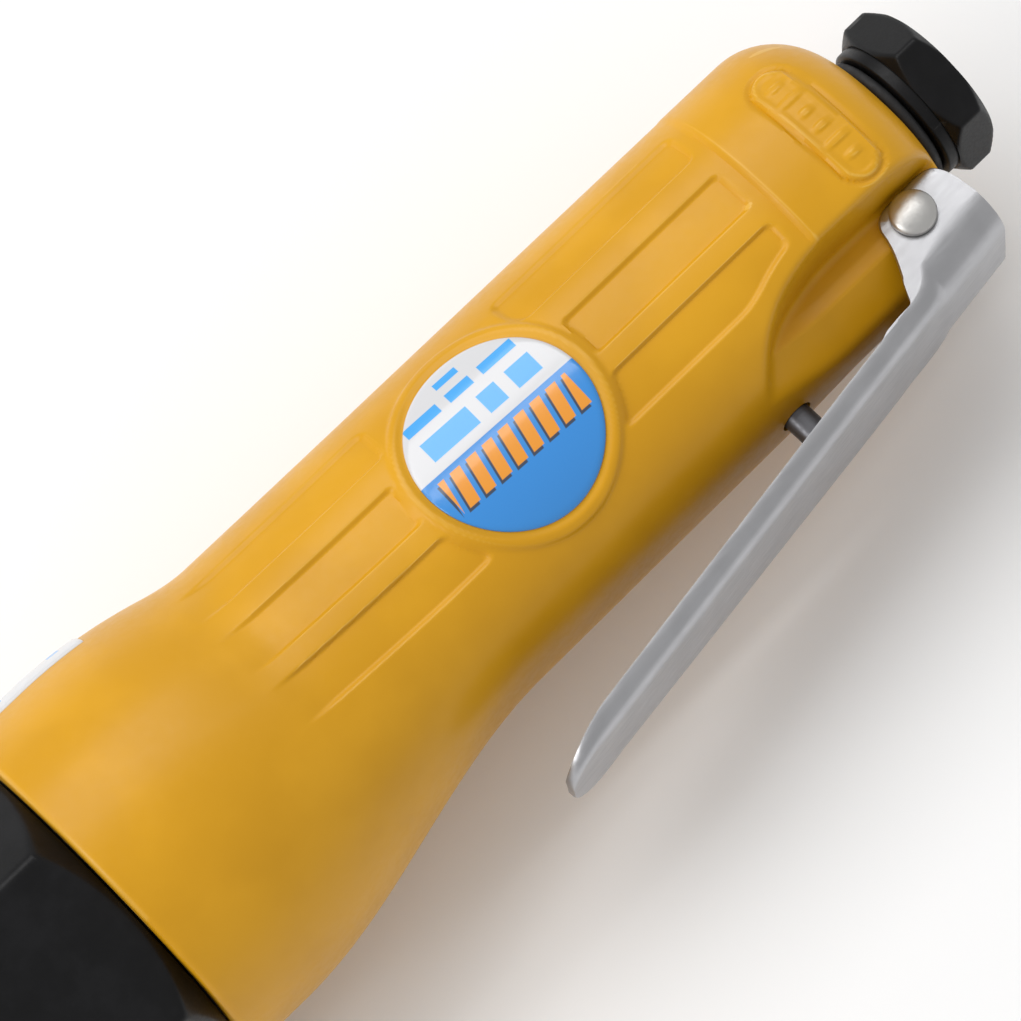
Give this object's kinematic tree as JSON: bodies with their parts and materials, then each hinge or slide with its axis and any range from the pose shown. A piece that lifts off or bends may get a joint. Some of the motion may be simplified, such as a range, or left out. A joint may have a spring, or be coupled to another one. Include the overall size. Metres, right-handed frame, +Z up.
{
  "type": "air ratchet wrench",
  "caption": "Hand-held air ratchet wrench: paddle throttle lever, vane motor, planetary gears, crank-driven ratchet head with square drive and reversing knob.",
  "frame": {"origin": "under the middle of the tool's box, on the surface it lies on", "axes": "+X along the tool towards the air inlet, +Z up through the label face, the throttle lever and the square drive on the -Y side"},
  "size_m": [0.2592, 0.0538, 0.0471],
  "materials": {
    "yellow_paint": "satin",
    "label_print": "satin",
    "black_steel": "satin",
    "nickel_lever": "satin",
    "bright_steel": "polished",
    "dark_steel": "satin",
    "spring_steel": "satin",
    "bearing_bronze": "satin",
    "seal_rubber": "matte",
    "vane_composite": "matte"
  },
  "bodies": {
    "tool_body": {"motor_housing": "yellow_paint", "label_disc": "label_print", "side_label": "label_print", "inlet_bushing": "black_steel", "inlet_screen": "bright_steel", "inlet_seal": "seal_rubber", "lever_pin": "bright_steel", "valve_bushing": "bearing_bronze", "valve_seal": "seal_rubber", "throttle_valve_spring": "spring_steel", "front_end_plate": "dark_steel", "front_bearing": "bright_steel", "motor_cylinder": "bright_steel", "cylinder_dowel": "bright_steel", "rear_end_plate": "dark_steel", "rear_bearing": "bright_steel", "ring_gear": "dark_steel", "carrier_bearing": "bearing_bronze", "bearing_spacer": "dark_steel", "crank_bearing": "bearing_bronze", "clamp_nut": "black_steel", "clamp_ring": "bright_steel", "ratchet_head": "black_steel", "friction_washer": "bright_steel", "thrust_washer": "bearing_bronze", "retaining_ring": "dark_steel"},
    "lever": {"throttle_lever": "nickel_lever"},
    "valve": {"throttle_valve": "dark_steel"},
    "motor_rotor": {"rotor": "bright_steel", "rotor_vane_1": "vane_composite", "rotor_vane_2": "vane_composite", "rotor_vane_3": "vane_composite", "rotor_vane_4": "vane_composite", "rotor_vane_5": "vane_composite"},
    "crank": {"crankshaft": "bright_steel", "planet_pin_1": "dark_steel", "planet_pin_2": "dark_steel", "planet_pin_3": "dark_steel", "drive_bushing": "bright_steel"},
    "planet_1": {"planet_gear_1": "bright_steel"},
    "planet_2": {"planet_gear_2": "bright_steel"},
    "planet_3": {"planet_gear_3": "bright_steel"},
    "yoke": {"ratchet_yoke": "dark_steel"},
    "drive_anvil": {"anvil": "bright_steel", "pawl_pin": "bright_steel", "socket_ball_spring": "spring_steel"},
    "pawl_rocker": {"pawl": "dark_steel"},
    "knob": {"reverse_knob": "black_steel", "pawl_plunger": "bright_steel", "pawl_spring": "spring_steel"},
    "socket_catch": {"socket_ball": "bright_steel"}
  },
  "joints": [
    {"name": "lever_press", "type": "hinge", "parent": "tool_body", "child": "lever", "pos_m": [0.1141, -0.0072, 0.02354], "axis": [0, 0, -1], "range_deg": [0, 6.5], "stiffness_Nm_per_rad": 0.8, "springref_deg": -8.59},
    {"name": "valve_slide", "type": "slide", "parent": "tool_body", "child": "valve", "axis": [0, 1, 0], "range_m": [0, 0.0028], "deforming": ["throttle_valve_spring"]},
    {"name": "crank_spin", "type": "hinge", "parent": "tool_body", "child": "crank", "pos_m": [-0.0206, 0.00315, 0.02354], "axis": [1, 0, 0], "continuous": true},
    {"name": "rotor_spin", "type": "hinge", "parent": "tool_body", "child": "motor_rotor", "pos_m": [0.0394, 0.00315, 0.02354], "axis": [1, 0, 0], "continuous": true},
    {"name": "planet_1_spin", "type": "hinge", "parent": "crank", "child": "planet_1", "pos_m": [0.0149, 0.0129, 0.02354], "axis": [1, 0, 0], "continuous": true},
    {"name": "planet_2_spin", "type": "hinge", "parent": "crank", "child": "planet_2", "pos_m": [0.0149, -0.00172, 0.03198], "axis": [1, 0, 0], "continuous": true},
    {"name": "planet_3_spin", "type": "hinge", "parent": "crank", "child": "planet_3", "pos_m": [0.0149, -0.00172, 0.01509], "axis": [1, 0, 0], "continuous": true},
    {"name": "yoke_rock", "type": "hinge", "parent": "tool_body", "child": "yoke", "pos_m": [-0.1106, 0.00315, 0.02354], "axis": [0, 1, 0], "range_deg": [-7.5, 7.5]},
    {"name": "anvil_spin", "type": "hinge", "parent": "tool_body", "child": "drive_anvil", "pos_m": [-0.1106, 0.00315, 0.02354], "axis": [0, 1, 0], "continuous": true},
    {"name": "knob_turn", "type": "hinge", "parent": "drive_anvil", "child": "knob", "pos_m": [-0.1106, 0.01715, 0.02354], "axis": [0, 1, 0], "range_deg": [-35, 35]},
    {"name": "pawl_rock", "type": "hinge", "parent": "drive_anvil", "child": "pawl_rocker", "pos_m": [-0.1182, 0.00315, 0.02354], "axis": [0, 1, 0], "range_deg": [-12, 12]},
    {"name": "socket_catch_press", "type": "slide", "parent": "drive_anvil", "child": "socket_catch", "axis": [1, 0, 0], "range_m": [0, 0.0008], "stiffness_N_per_m": 800, "springref_m": -0.0005, "deforming": ["socket_ball_spring"]}
  ],
  "couplings": [
    {"joint": "valve_slide", "follows": "lever_press", "m_per_rad": 0.0237},
    {"joint": "rotor_spin", "follows": "crank_spin", "ratio": 5},
    {"joint": "planet_1_spin", "follows": "crank_spin", "ratio": -2.6667},
    {"joint": "planet_2_spin", "follows": "crank_spin", "ratio": -2.6667},
    {"joint": "planet_3_spin", "follows": "crank_spin", "ratio": -2.6667},
    {"joint": "pawl_rock", "follows": "knob_turn", "ratio": -0.34286}
  ]
}
